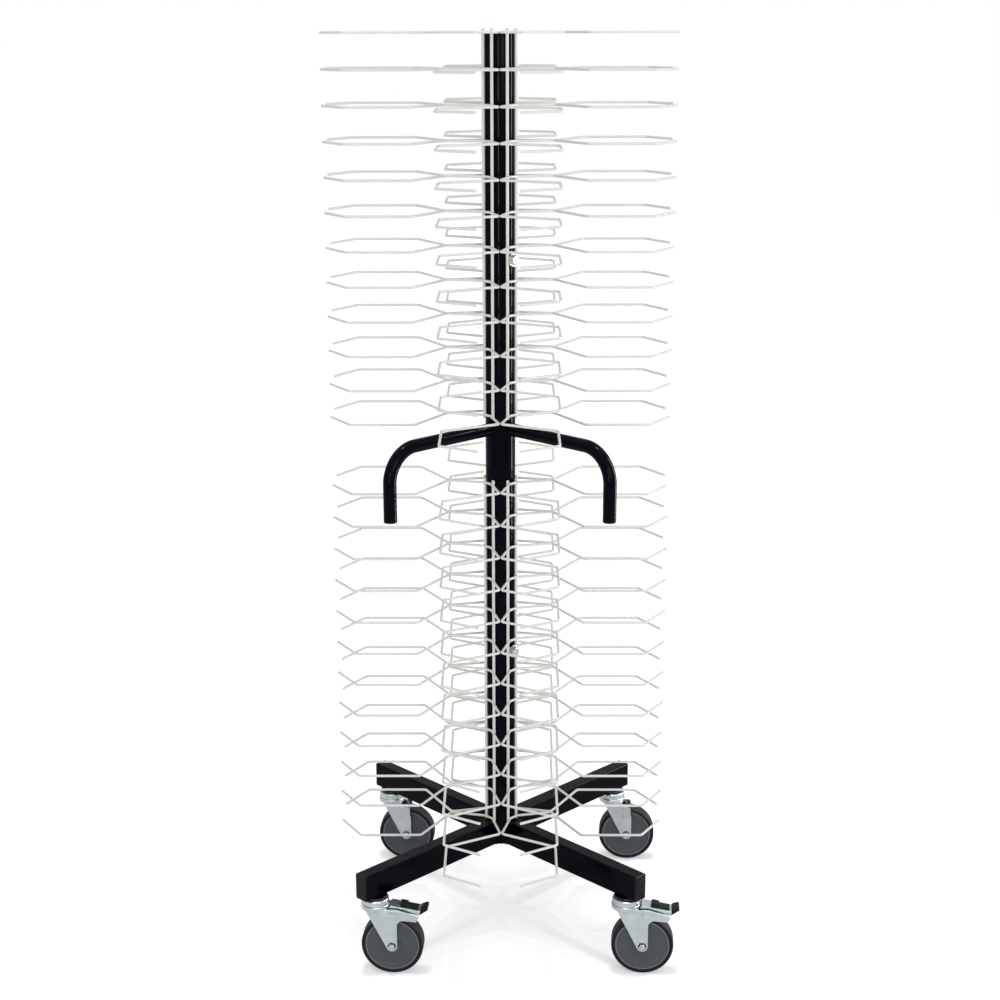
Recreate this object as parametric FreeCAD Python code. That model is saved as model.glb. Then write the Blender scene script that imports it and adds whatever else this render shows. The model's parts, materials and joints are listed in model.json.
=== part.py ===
import FreeCAD, Part
import math
import os
from FreeCAD import Vector

# Plate dispenser cart: a mast on four casters that carries two welded wire cages.
# Millimetres. +Z is up, the front faces -Y, and the origin is on the floor under the mast's axis.

# ---- mast, base and handles ----
MAST_D = 60.0
MAST_WALL = 2.0
MAST_DROP = 3.9            # mast's open end below the upper cage's top level
PLUG_FLANGE = 3.0
PLUG_EDGE = 1.2
PLUG_DEPTH = 18.0
PLUG_WALL = 2.0
PLUG_FIT = 0.15
LEG_W = 30.0
LEG_H = 54.0
LEG_WALL = 2.0
LEG_OVERHANG = 38.0        # leg's end past the caster's swivel axis
LEG_CORNER_R = 3.0
LEG_INNER_R = 1.0
LEG_CAP_DEPTH = 15.0
HANDLE_D = 26.0
HANDLE_WALL = 2.0
HANDLE_RISE = 103.2        # handle's axis above the lower cage's rods
HANDLE_REACH = 295.0
HANDLE_BEND_R = 65.0
GRIP_LENGTH = 139.0

# ---- wire cages ----
LEVELS = 12
LEVEL_PITCH = 66.4
CAGE_STAND = 0.4           # lower cage's rods above the legs
CAGE_LIFT = 29.5           # upper cage's lowest level above the handles' axis
WIRE_D = 5.0
ROD_D = 6.0
ROD_ANGLE = 25.0
ROD_OVERHANG = 3.5
CAGE_GAP = 1.4             # rods to mast
WELD_SET = 0.4
WIRE_BEND_R = 9.0
NECK_GAP = 0.2
NECK_LENGTH = 71.1
COLUMN_HALF_W = 111.3
COLUMN_SPREAD = 60.3
COLUMN_LENGTH = 124.3
TIP_DEPTH = 43.3
TIP_HALF_GAP = 39.4

# ---- cage clamps ----
CLAMP_ANGLE = 315.0
CLAMP_BOLT_D = 10.0
CLAMP_HEAD_AF = 17.0
CLAMP_HEAD_H = 7.0
CLAMP_WASHER_D = 26.0
CLAMP_WASHER_T = 2.5
CLAMP_DROP = 25.0
UPPER_CLAMP_LEVEL = 6
LOWER_CLAMP_LEVEL = 5
INSERT_D = 13.0
INSERT_FLANGE_D = 17.0
INSERT_FLANGE_T = 1.0
INSERT_DEPTH = 14.0
HEX_EDGE = 0.3
HEX_SLOPE = 30.0

# ---- wheels ----
WHEEL_D = 125.0
TYRE_W = 34.0
TYRE_DEPTH = 8.0
TYRE_SHOULDER_R = 4.0
RIM_INSET = 1.75
DISC_RECESS = 2.0
DISC_RIM_W = 3.0
DISC_T = 9.0
BARREL_D = 34.0
SLEEVE_D = 15.0
AXLE_D = 8.0
AXLE_AF = 13.0
AXLE_HEAD_H = 5.5
AXLE_TAIL = 2.0

# ---- swivel heads and forks ----
CASTER_RADIUS = 355.0
CASTER_TRAIL = 34.0
CASTER_TURN = -4.0
WHEEL_ROOM = 14.6          # free height between wheel and crown
SIDE_ROOM = 2.5            # free width between tyre and fork
BOSS_D = 48.0
BOSS_H = 5.0
BOSS_EDGE_R = 2.0
RACE_STEP = 1.5            # race's edge inside the crown's
RACE_H = 12.0
RACE_EDGE_R = 3.5
RACE_SEAM = 0.4
NOTCH_COUNT = 4
NOTCH_W = 16.0
NOTCH_H = 6.5
NOTCH_RISE = 2.0
NOTCH_DEPTH = 2.0
CROWN_SHOULDER = 7.0       # crown's edge outside the fork's sides
CROWN_H = 10.0
CROWN_EDGE_R = 2.0
CROWN_PLATE_T = 3.5
CROWN_LIP = 5.0
BALL_D = 6.0
BALL_RING_D = 40.0
BALL_COUNT = 12
KING_D = 12.0
KING_AF = 19.0
KING_HEAD_H = 7.5
KING_NUT_H = 9.6
FORK_T = 2.5
FORK_LOBE_R = 11.0
FORK_BEND_R = 12.0
FORK_WAIST_DROP = 32.5
FORK_RIB_W = 18.0
FORK_RIB_T = 1.2
FORK_RIB_R = 5.4
FORK_RIB_INSET = 2.0
FORK_RIB_DROP = 9.0

# ---- brakes ----
ARM_LENGTH = 55.0
ARM_DROP = 18.5
ARM_H = 12.0
ARM_RAKE = 6.0
ARM_FALL = 3.0
PIVOT_SETBACK = 5.5        # pivot's axis outside the crown's edge
PIVOT_DROP = 4.5
PIVOT_D = 6.0
PIVOT_HEAD_D = 9.0
PIVOT_HEAD_T = 1.2
PEDAL_SETBACK = 2.5
PEDAL_ROOM = 4.0           # pedal's edge inside the fork's sides
PEDAL_LENGTH = 60.0
PEDAL_T = 2.5
PEDAL_FLANGE_H = 9.0
PEDAL_SLOPE = 9.8
PEDAL_TIP = 21.0
PEDAL_TIP_RISE = 35.0
PEDAL_TIP_T = 5.0
EAR_R = 5.4
CAP_W = 21.0
CAP_T = 3.0
CAP_SETBACK = 19.0
CAP_BORDER = 4.5           # bare plate between the cap's pad and its tip
CAP_RIB_W = 20.0
CAP_RIB_LENGTH = 15.0
CAP_RIB_H = 4.0
BRAKE_TRAVEL = 12.0
SHOE_R = 4.0
SHOE_W = 20.0
SHOE_STEM_T = 4.8
SHOE_ANGLE = 22.0
SHOE_CLEAR = 0.5

# ---- clearances ----
RUN_FIT = 0.05
BOLT_FIT = 0.1
AXIAL_FIT = 0.3

# ---- worked out from the sizes above ----
MAST_R = MAST_D / 2
ROD_R = ROD_D / 2
WIRE_R = WIRE_D / 2
WHEEL_R = WHEEL_D / 2
ROD_CIRCLE = MAST_R + CAGE_GAP + ROD_R
NECK_REACH = ROD_CIRCLE + NECK_LENGTH
COLUMN_IN = NECK_REACH + COLUMN_SPREAD
COLUMN_OUT = COLUMN_IN + COLUMN_LENGTH
COLUMN_TIP = COLUMN_OUT + TIP_DEPTH
CROWN_BOTTOM = WHEEL_D + WHEEL_ROOM
CROWN_TOP = CROWN_BOTTOM + CROWN_H
SEAM_TOP = CROWN_TOP + RACE_SEAM
CASTER_H = SEAM_TOP + RACE_H
LEG_BOTTOM = CASTER_H + BOSS_H
LEG_TOP = LEG_BOTTOM + LEG_H
LEG_REACH = CASTER_RADIUS + LEG_OVERHANG
CAGE_HEIGHT = LEVEL_PITCH * (LEVELS - 1)
LOWER_CAGE_TOP = LEG_TOP + CAGE_STAND + ROD_OVERHANG + WIRE_R + CAGE_HEIGHT
HANDLE_Z = LOWER_CAGE_TOP + WIRE_R + ROD_OVERHANG + HANDLE_RISE
UPPER_CAGE_TOP = HANDLE_Z + CAGE_LIFT + CAGE_HEIGHT
MAST_TOP = UPPER_CAGE_TOP - MAST_DROP
FORK_GAP = TYRE_W + 2 * SIDE_ROOM
FORK_OUT = FORK_GAP / 2 + FORK_T
CROWN_R = FORK_OUT + CROWN_SHOULDER
CROWN_CHORD = math.sqrt(CROWN_R ** 2 - FORK_OUT ** 2)
RACE_R = CROWN_R - RACE_STEP
PIVOT_X = CROWN_R + PIVOT_SETBACK
PIVOT_Z = CROWN_BOTTOM - PIVOT_DROP
PEDAL_START = CROWN_R + PEDAL_SETBACK
PEDAL_END = PEDAL_START + PEDAL_LENGTH
PEDAL_W = FORK_GAP - 2 * PEDAL_ROOM
X_AXIS = Vector(1, 0, 0)
Y_AXIS = Vector(0, 1, 0)
Z_AXIS = Vector(0, 0, 1)
ORIGIN = Vector(0, 0, 0)
DIAGONALS = (225.0, 315.0, 45.0, 135.0)
HANDLES = {"left": 225.0, "right": 315.0}
CASTERS = {"front_left": 225.0, "front_right": 315.0, "back_right": 45.0, "back_left": 135.0}
BRAKED = ("front_left", "front_right")
TOUCH = 0.01               # tells an edge on a face from one beside it


def export(name, shape):
    shape.exportStep("parts/" + name + ".step")


def turned(shape, degrees, centre=ORIGIN, axis=Z_AXIS):
    copy = shape.copy()
    copy.rotate(centre, axis, degrees)
    return copy


def moved(shape, x=0.0, y=0.0, z=0.0):
    copy = shape.copy()
    copy.translate(Vector(x, y, z))
    return copy


def ring(outer_r, inner_r, bottom, height):
    outer = Part.makeCylinder(outer_r, height, Vector(0, 0, bottom))
    return outer.cut(Part.makeCylinder(inner_r, height, Vector(0, 0, bottom)))


def along_y(radius, length, x, z, start):
    return Part.makeCylinder(radius, length, Vector(x, start, z), Y_AXIS)


def hexagon(across_flats, height, bottom):
    """Hexagonal prism on the Z axis with its corners turned down on the upper face."""
    corner = across_flats / 2 / math.cos(math.pi / 6)
    points = [Vector(corner * math.cos(k * math.pi / 3), corner * math.sin(k * math.pi / 3), bottom)
              for k in range(7)]
    prism = Part.Face(Part.makePolygon(points)).extrude(Vector(0, 0, height))
    top_r = across_flats / 2 - HEX_EDGE
    low_r = top_r + height / math.tan(math.radians(HEX_SLOPE))
    return prism.common(Part.makeCone(low_r, top_r, height, Vector(0, 0, bottom)))


def rounded_bend(before, corner, after, radius):
    """Start, middle, end and centre of the arc that rounds a corner of a path."""
    back = (before - corner).normalize()
    ahead = (after - corner).normalize()
    half = back.getAngle(ahead) / 2
    run = radius / math.tan(half)
    centre = corner + (back + ahead).normalize() * (radius / math.sin(half))
    middle = centre + (corner - centre).normalize() * radius
    return corner + back * run, middle, corner + ahead * run, centre


def rounded_path(points, radii):
    """Straight runs through the points, joined by a tangent arc of its own radius at each inner point."""
    edges = []
    start = points[0]
    for before, corner, after, radius in zip(points, points[1:], points[2:], radii):
        arc_start, middle, arc_end, centre = rounded_bend(before, corner, after, radius)
        edges.append(Part.makeLine(start, arc_start))
        edges.append(Part.Arc(arc_start, middle, arc_end).toShape())
        start = arc_end
    edges.append(Part.makeLine(start, points[-1]))
    return Part.Wire(edges)


def half_arc(start, end, centre):
    """Arc from start to end about the centre, the short way."""
    radius = (start - centre).Length
    middle = centre + ((start + end) / 2 - centre).normalize() * radius
    return Part.Arc(start, middle, end).toShape()


def rounded_runs(points, radius):
    """The same path as one piece for each straight run, which starts and ends in the middle of its bends."""
    bends = [rounded_bend(*corner, radius) for corner in zip(points, points[1:], points[2:])]
    runs = []
    for k in range(len(points) - 1):
        edges = []
        start, end = points[k], points[k + 1]
        if k > 0:
            middle, start, centre = bends[k - 1][1:]
            edges.append(half_arc(middle, start, centre))
        if k < len(bends):
            end = bends[k][0]
        edges.append(Part.makeLine(start, end))
        if k < len(bends):
            edges.append(half_arc(end, bends[k][1], bends[k][3]))
        runs.append(Part.Wire(edges))
    return runs


def swept(path, radius):
    first = path.Edges[0]
    start = first.firstVertex().Point
    direction = first.tangentAt(first.FirstParameter)
    profile = Part.Wire(Part.makeCircle(radius, start, direction))
    return path.makePipeShell([profile], True, False)


def profile_plate(edges, thickness, start_y):
    """Plate of the closed outline, which lies in the XZ plane, from start_y towards +Y."""
    plate = Part.Face(Part.Wire(edges)).extrude(Vector(0, thickness, 0))
    return moved(plate, y=start_y)


def polygon_plate(points, thickness, start_y):
    corners = [Vector(x, 0, z) for x, z in points]
    return profile_plate(Part.makePolygon(corners + corners[:1]).Edges, thickness, start_y)


# ---- frame ----

def clamp_heights():
    upper = UPPER_CAGE_TOP - LEVEL_PITCH * UPPER_CLAMP_LEVEL - CLAMP_DROP
    lower = LOWER_CAGE_TOP - LEVEL_PITCH * LOWER_CLAMP_LEVEL - CLAMP_DROP
    return (upper, lower)


def on_clamp_axis(shape, height):
    """Turn a part drawn along +Z, with zero at the mast's axis, onto the clamp's axis at a height."""
    lying = turned(shape, 90.0, axis=Y_AXIS)
    return moved(turned(lying, CLAMP_ANGLE), z=height)


def mast_tube():
    tube = ring(MAST_R, MAST_R - MAST_WALL, LEG_BOTTOM, MAST_TOP - LEG_BOTTOM)
    for height in clamp_heights():
        hole = Part.makeCylinder(INSERT_D / 2, MAST_D, ORIGIN)
        tube = tube.cut(on_clamp_axis(hole, height))
    return tube


def round_plug(tube_d, wall):
    """Plug that stands in a tube's end at z = 0, with its flange above and its body below."""
    body_r = tube_d / 2 - wall - PLUG_FIT
    flange = Part.makeCylinder(tube_d / 2, PLUG_FLANGE)
    flange = flange.makeFillet(PLUG_EDGE, [edge for edge in flange.Edges
                                           if edge.BoundBox.ZMin > PLUG_FLANGE - TOUCH])
    return flange.fuse(ring(body_r, body_r - PLUG_WALL, -PLUG_DEPTH, PLUG_DEPTH)).removeSplitter()


def mast_top_cap():
    return moved(round_plug(MAST_D, MAST_WALL), z=MAST_TOP)


def mast_foot_plug():
    """Plug pushed in level with the mast's lower end."""
    body_r = MAST_R - MAST_WALL - PLUG_FIT
    floor = Part.makeCylinder(body_r, PLUG_FLANGE, Vector(0, 0, LEG_BOTTOM))
    return floor.fuse(ring(body_r, body_r - PLUG_WALL, LEG_BOTTOM, PLUG_DEPTH)).removeSplitter()


def rounded_bar(length, width, height, corner, start_x, bottom):
    bar = Part.makeBox(length, width, height, Vector(start_x, -width / 2, bottom))
    return bar.makeFillet(corner, [edge for edge in bar.Edges if edge.BoundBox.XLength > length - TOUCH])


def leg():
    """Leg along +X, coped to the mast, with the king bolt's hole in its lower wall."""
    length = LEG_REACH - PLUG_FLANGE
    outer = rounded_bar(length, LEG_W, LEG_H, LEG_CORNER_R, 0.0, LEG_BOTTOM)
    inner = rounded_bar(length, LEG_W - 2 * LEG_WALL, LEG_H - 2 * LEG_WALL, LEG_INNER_R, 0.0,
                        LEG_BOTTOM + LEG_WALL)
    tube = outer.cut(inner)
    tube = tube.cut(Part.makeCylinder(MAST_R, LEG_H, Vector(0, 0, LEG_BOTTOM)))
    return tube.cut(Part.makeCylinder(KING_D / 2 + BOLT_FIT, LEG_WALL, Vector(CASTER_RADIUS, 0, LEG_BOTTOM)))


def leg_end_cap():
    """Cap in a leg's outer end: a flange with a bevelled edge, and a hollow body inside the tube."""
    flange = rounded_bar(PLUG_FLANGE, LEG_W, LEG_H, LEG_CORNER_R, LEG_REACH - PLUG_FLANGE, LEG_BOTTOM)
    flange = flange.makeChamfer(PLUG_EDGE, [edge for edge in flange.Edges
                                            if edge.BoundBox.XMin > LEG_REACH - TOUCH])
    start = LEG_REACH - PLUG_FLANGE - LEG_CAP_DEPTH
    inset = LEG_WALL + PLUG_FIT
    body = rounded_bar(LEG_CAP_DEPTH, LEG_W - 2 * inset, LEG_H - 2 * inset, LEG_INNER_R, start,
                       LEG_BOTTOM + inset)
    inset += PLUG_WALL
    core = rounded_bar(LEG_CAP_DEPTH, LEG_W - 2 * inset, LEG_H - 2 * inset, LEG_INNER_R, start,
                       LEG_BOTTOM + inset)
    return flange.fuse(body.cut(core)).removeSplitter()


def on_diagonals(shape):
    return Part.Compound([turned(shape, angle) for angle in DIAGONALS])


def handle():
    """Handle along +X: an arm from the mast that turns down into an upright grip."""
    corner = Vector(HANDLE_REACH, 0, HANDLE_Z)
    grip_end = corner - Vector(0, 0, GRIP_LENGTH - PLUG_FLANGE)
    path = rounded_path([Vector(0, 0, HANDLE_Z), corner, grip_end], [HANDLE_BEND_R])
    tube = swept(path, HANDLE_D / 2).cut(swept(path, HANDLE_D / 2 - HANDLE_WALL))
    return tube.cut(Part.makeCylinder(MAST_R, 2 * HANDLE_D, Vector(0, 0, HANDLE_Z - HANDLE_D)))


def handle_end_plug():
    plug = turned(round_plug(HANDLE_D, HANDLE_WALL), 180.0, axis=Y_AXIS)
    return moved(plug, x=HANDLE_REACH, z=HANDLE_Z - GRIP_LENGTH + PLUG_FLANGE)


# ---- wire cages ----

def rod_places():
    """Places of the eight upright rods, two beside each column's neck."""
    places = []
    for quarter in range(4):
        for side in (-1, 1):
            angle = math.radians(270.0 - 90.0 * quarter + side * ROD_ANGLE)
            places.append(Vector(ROD_CIRCLE * math.cos(angle), ROD_CIRCLE * math.sin(angle), 0))
    return places


def cage_rods(top):
    height = CAGE_HEIGHT + WIRE_D + 2 * ROD_OVERHANG
    bottom = top - CAGE_HEIGHT - WIRE_R - ROD_OVERHANG
    return [Part.makeCylinder(ROD_R, height, place + Vector(0, 0, bottom)) for place in rod_places()]


def bend_direction(before, corner, after):
    """Unit direction from a corner to its arc's centre, and how far the arc's middle lies from the corner."""
    middle, centre = rounded_bend(before, corner, after, WIRE_BEND_R)[1::2]
    return (centre - corner).normalize(), (middle - corner).Length


def quarter_wire():
    """Flat wire of the front-left quarter at z = 0, with seats where it is welded to its two rods.

    Its straight runs are solids of their own that meet face to face in the middle of each bend.
    """
    angle = math.radians(270.0 - ROD_ANGLE)
    rod = Vector(ROD_CIRCLE * math.cos(angle), ROD_CIRCLE * math.sin(angle), 0)
    rod_twin = Vector(rod.y, rod.x, 0)
    inner = Vector(-COLUMN_HALF_W, -COLUMN_IN, 0)
    neck = Vector(-WIRE_R, -NECK_REACH, 0)
    towards_bay, arc_inset = bend_direction(neck, rod, rod_twin)
    at_rod = rod + towards_bay * (ROD_R + WIRE_R - WELD_SET - arc_inset)
    to_centre, arc_inset = bend_direction(inner, neck, at_rod)
    arc_centre_x = to_centre.x * (WIRE_BEND_R + arc_inset)
    neck.x = -WIRE_R - NECK_GAP / 2 - WIRE_BEND_R - arc_centre_x
    outer = Vector(-COLUMN_HALF_W, -COLUMN_OUT, 0)
    half = [Vector(-TIP_HALF_GAP, -COLUMN_TIP, 0), outer, inner, neck, at_rod]
    points = half + [Vector(point.y, point.x, 0) for point in reversed(half)]
    seats = [Part.makeCylinder(ROD_R, WIRE_D * 2, place - Vector(0, 0, WIRE_D)) for place in (rod, rod_twin)]
    runs = [swept(run, WIRE_R) for run in rounded_runs(points, WIRE_BEND_R)]
    return [run.cut(seats).Solids[0] for run in runs]


def cage_wires(wire, quarter, top):
    runs = [turned(run, -90.0 * quarter) for run in wire]
    return Part.Compound([moved(run, z=top - LEVEL_PITCH * level) for level in range(LEVELS) for run in runs])


# ---- cage clamps ----

def clamp_seat():
    """Distance from the mast's axis to the plane on the two rods that a washer bears on."""
    return ROD_CIRCLE * math.cos(math.radians(45.0 - ROD_ANGLE)) + ROD_R


def clamp_washer(height):
    washer = ring(CLAMP_WASHER_D / 2, CLAMP_BOLT_D / 2 + BOLT_FIT, clamp_seat(), CLAMP_WASHER_T)
    return on_clamp_axis(washer, height)


def clamp_bolt(height):
    seat = clamp_seat() + CLAMP_WASHER_T
    inner_end = MAST_R - INSERT_DEPTH
    shank = Part.makeCylinder(CLAMP_BOLT_D / 2, seat - inner_end, Vector(0, 0, inner_end))
    bolt = shank.fuse(hexagon(CLAMP_HEAD_AF, CLAMP_HEAD_H, seat)).removeSplitter()
    return on_clamp_axis(bolt, height)


def clamp_insert(height):
    body = Part.makeCylinder(INSERT_D / 2 - BOLT_FIT, INSERT_DEPTH, Vector(0, 0, MAST_R - INSERT_DEPTH))
    flange = Part.makeCylinder(INSERT_FLANGE_D / 2, INSERT_FLANGE_T + MAST_WALL,
                               Vector(0, 0, MAST_R - MAST_WALL))
    insert = body.fuse(flange.cut(turned(Part.makeCylinder(MAST_R, MAST_D, Vector(0, 0, -MAST_R)),
                                         90.0, axis=Y_AXIS)))
    bore = Part.makeCylinder(CLAMP_BOLT_D / 2 + RUN_FIT, MAST_D)
    return on_clamp_axis(insert.cut(bore), height)


# ---- caster parts that stay with the frame, drawn about the swivel axis ----

def caster_boss():
    boss = ring(BOSS_D / 2, KING_D / 2 + BOLT_FIT, CASTER_H, BOSS_H)
    return boss.makeFillet(BOSS_EDGE_R, [edge for edge in boss.Edges
                                         if edge.BoundBox.ZMax < CASTER_H + TOUCH
                                         and edge.BoundBox.XLength > BOSS_D - TOUCH])


def leg_nut():
    nut = hexagon(KING_AF, KING_NUT_H, LEG_BOTTOM + LEG_WALL)
    return nut.cut(Part.makeCylinder(KING_D / 2 + RUN_FIT, KING_NUT_H, Vector(0, 0, LEG_BOTTOM + LEG_WALL)))


def king_bolt():
    """Bolt up through the swivel head and the leg's lower wall, with its head under the crown."""
    top = LEG_BOTTOM + LEG_WALL + KING_NUT_H
    head_top = CROWN_BOTTOM - AXIAL_FIT
    shank = Part.makeCylinder(KING_D / 2, top - head_top, Vector(0, 0, head_top))
    head = turned(hexagon(KING_AF, KING_HEAD_H, 0.0), 180.0, axis=Y_AXIS)
    return shank.fuse(moved(head, z=head_top)).removeSplitter()


def ball_groove():
    return Part.makeTorus(BALL_RING_D / 2, BALL_D / 2 + RUN_FIT, Vector(0, 0, SEAM_TOP - RACE_SEAM / 2))


def top_race():
    """Fixed race of the swivel head, a cup with pressed notches in its wall."""
    race = ring(RACE_R, KING_D / 2 + BOLT_FIT, SEAM_TOP, RACE_H)
    race = race.makeFillet(RACE_EDGE_R, [edge for edge in race.Edges
                                         if edge.BoundBox.ZMin > CASTER_H - TOUCH
                                         and edge.BoundBox.XLength > 2 * RACE_R - TOUCH])
    race = race.cut(ball_groove())
    notch = Part.makeBox(NOTCH_W, NOTCH_W, NOTCH_H,
                         Vector(RACE_R - NOTCH_DEPTH, -NOTCH_W / 2, SEAM_TOP + NOTCH_RISE))
    for k in range(NOTCH_COUNT):
        race = race.cut(turned(notch, 360.0 / NOTCH_COUNT * k))
    return race


# ---- caster parts that swivel, drawn about the swivel axis with the trail along +X ----

def fork_outline(braked):
    """Outline of a fork side in the XZ plane: wide under the crown, a lobe around the axle."""
    top_z = CROWN_BOTTOM + CROWN_PLATE_T
    axle = Vector(CASTER_TRAIL, 0, WHEEL_R)
    back_top = Vector(-CROWN_CHORD, 0, top_z)
    span = axle - back_top
    lean = math.atan2(span.x, -span.z) - math.asin(FORK_LOBE_R / span.Length)
    tangent = axle + Vector(-math.cos(lean), 0, -math.sin(lean)) * FORK_LOBE_R
    low = axle + Vector(0, 0, -FORK_LOBE_R)
    right = axle + Vector(FORK_LOBE_R, 0, 0)
    edges = [Part.makeLine(back_top, tangent), Part.Arc(tangent, low, right).toShape()]
    if braked:
        under_z = CROWN_BOTTOM - ARM_DROP
        arm_end = PIVOT_X + ARM_LENGTH
        arm_low = Vector(arm_end - ARM_RAKE, 0, under_z - ARM_FALL)
        arm_top = Vector(arm_end, 0, under_z - ARM_FALL + ARM_H)
        turn = rounded_path([right, Vector(right.x, 0, under_z), arm_low], [FORK_BEND_R])
        corners = [arm_low, arm_top, Vector(PIVOT_X + FORK_LOBE_R, 0, top_z), back_top]
    else:
        waist = Vector(right.x, 0, CROWN_BOTTOM - FORK_WAIST_DROP)
        shoulder = Vector(CROWN_CHORD + CROWN_LIP, 0, CROWN_BOTTOM)
        turn = rounded_path([right, waist, shoulder], [FORK_BEND_R])
        corners = [shoulder, Vector(shoulder.x, 0, top_z), back_top]
    return edges + turn.Edges + Part.makePolygon(corners).Edges


def fork_rib(start_y):
    """Pressed rib up a fork side."""
    bottom = WHEEL_R + FORK_LOBE_R
    corner = Vector(CASTER_TRAIL + FORK_LOBE_R - FORK_RIB_W - FORK_RIB_INSET, start_y, bottom)
    rib = Part.makeBox(FORK_RIB_W, FORK_RIB_T, CROWN_BOTTOM - FORK_RIB_DROP - bottom, corner)
    return rib.makeFillet(FORK_RIB_R, [edge for edge in rib.Edges
                                       if edge.BoundBox.YLength > FORK_RIB_T - TOUCH])


def fork(braked):
    """Swivel head's lower race with the two fork sides under it, which run on as the brake's arms."""
    outline = fork_outline(braked)
    pieces = [profile_plate(outline, FORK_T, -FORK_OUT), profile_plate(outline, FORK_T, FORK_GAP / 2),
              fork_rib(-FORK_OUT - FORK_RIB_T), fork_rib(FORK_OUT)]
    pieces.append(Part.makeBox(2 * CROWN_CHORD + CROWN_LIP, 2 * FORK_OUT, CROWN_PLATE_T,
                               Vector(-CROWN_CHORD, -FORK_OUT, CROWN_BOTTOM)))
    crown = Part.makeCylinder(CROWN_R, CROWN_H, Vector(0, 0, CROWN_BOTTOM))
    crown = crown.makeFillet(CROWN_EDGE_R, [edge for edge in crown.Edges
                                            if edge.BoundBox.XLength > 2 * CROWN_R - TOUCH])
    body = crown.multiFuse(pieces).removeSplitter()
    body = body.cut(ball_groove())
    body = body.cut(Part.makeCylinder(KING_D / 2 + RUN_FIT, CROWN_H, Vector(0, 0, CROWN_BOTTOM)))
    body = body.cut(along_y(AXLE_D / 2 + BOLT_FIT, 2 * FORK_OUT, CASTER_TRAIL, WHEEL_R, -FORK_OUT))
    if braked:
        body = body.cut(along_y(PIVOT_D / 2, 2 * FORK_OUT, PIVOT_X, PIVOT_Z, -FORK_OUT))
    return body


def swivel_balls():
    height = SEAM_TOP - RACE_SEAM / 2
    ball = Part.makeSphere(BALL_D / 2, Vector(BALL_RING_D / 2, 0, height))
    return Part.Compound([turned(ball, 360.0 / BALL_COUNT * k) for k in range(BALL_COUNT)])


def axle_sleeve():
    sleeve = along_y(SLEEVE_D / 2, FORK_GAP, CASTER_TRAIL, WHEEL_R, -FORK_GAP / 2)
    return sleeve.cut(along_y(AXLE_D / 2 + BOLT_FIT, FORK_GAP, CASTER_TRAIL, WHEEL_R, -FORK_GAP / 2))


def axle_bolt():
    reach = FORK_OUT + AXLE_HEAD_H + AXLE_TAIL
    shank = along_y(AXLE_D / 2, FORK_OUT + reach, CASTER_TRAIL, WHEEL_R, -FORK_OUT)
    head = turned(hexagon(AXLE_AF, AXLE_HEAD_H, 0.0), 90.0, axis=X_AXIS)
    return shank.fuse(moved(head, x=CASTER_TRAIL, y=-FORK_OUT, z=WHEEL_R)).removeSplitter()


def axle_nut():
    nut = turned(hexagon(AXLE_AF, AXLE_HEAD_H, 0.0), -90.0, axis=X_AXIS)
    nut = moved(nut, x=CASTER_TRAIL, y=FORK_OUT, z=WHEEL_R)
    return nut.cut(along_y(AXLE_D / 2 + RUN_FIT, AXLE_HEAD_H, CASTER_TRAIL, WHEEL_R, FORK_OUT))


# ---- wheel, drawn with its axle in place ----

def on_axle(shape):
    """Turn a part drawn about the Z axis, centred at z = 0, onto the wheel's axle."""
    return moved(turned(shape, 90.0, axis=X_AXIS), x=CASTER_TRAIL, z=WHEEL_R)


def tyre():
    body = ring(WHEEL_R, WHEEL_R - TYRE_DEPTH, -TYRE_W / 2, TYRE_W)
    body = body.makeFillet(TYRE_SHOULDER_R, [edge for edge in body.Edges
                                             if edge.BoundBox.XLength > WHEEL_D - TOUCH
                                             and edge.BoundBox.ZLength < TOUCH])
    return on_axle(body)


def wheel_hub():
    """Wheel centre turned about its axle: rim under the tyre, thin disc, and a barrel on the sleeve."""
    rim_r = WHEEL_R - TYRE_DEPTH
    inner_r = rim_r - DISC_RIM_W
    half = TYRE_W / 2 - RIM_INSET
    body = ring(rim_r, inner_r, -half, 2 * half)
    face = half - DISC_RECESS
    body = body.fuse(ring(inner_r, BARREL_D / 2, face - DISC_T, DISC_T))
    body = body.fuse(ring(inner_r, BARREL_D / 2, -face, DISC_T))
    barrel_half = FORK_GAP / 2 - AXIAL_FIT
    body = body.fuse(ring(BARREL_D / 2, SLEEVE_D / 2 + RUN_FIT, -barrel_half, 2 * barrel_half))
    return on_axle(body.removeSplitter())


# ---- brake ----

def brake_pivot():
    pin = along_y(PIVOT_D / 2, 2 * FORK_OUT, PIVOT_X, PIVOT_Z, -FORK_OUT)
    for start in (-FORK_OUT - PIVOT_HEAD_T, FORK_OUT):
        pin = pin.fuse(along_y(PIVOT_HEAD_D / 2, PIVOT_HEAD_T, PIVOT_X, PIVOT_Z, start))
    return pin.removeSplitter()


def pedal_point(x, rise):
    """Point in the XZ plane at a height above the pedal plate's upper face, which slopes to the tip."""
    slope = math.radians(PEDAL_SLOPE)
    face_z = CROWN_TOP - (x - PEDAL_START) * math.tan(slope)
    return (x + rise * math.sin(slope), face_z + rise * math.cos(slope))


def pedal_strip(start, end, low, high, width):
    """Plate along the pedal between two heights above its upper face."""
    corners = [pedal_point(x, rise) for x, rise in ((start, low), (end, low), (end, high), (start, high))]
    return polygon_plate(corners, width, -width / 2)


def shoe_centre():
    """Centre of the shoe's nose at rest: its pressed place beside the tread, turned back about the pivot."""
    reach = WHEEL_R + SHOE_CLEAR + SHOE_R
    angle = math.radians(SHOE_ANGLE)
    nose = Part.Vertex(CASTER_TRAIL + reach * math.sin(angle), 0, WHEEL_R + reach * math.cos(angle))
    nose.rotate(Vector(PIVOT_X, 0, PIVOT_Z), Y_AXIS, -BRAKE_TRAVEL)
    return nose.Point


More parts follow.
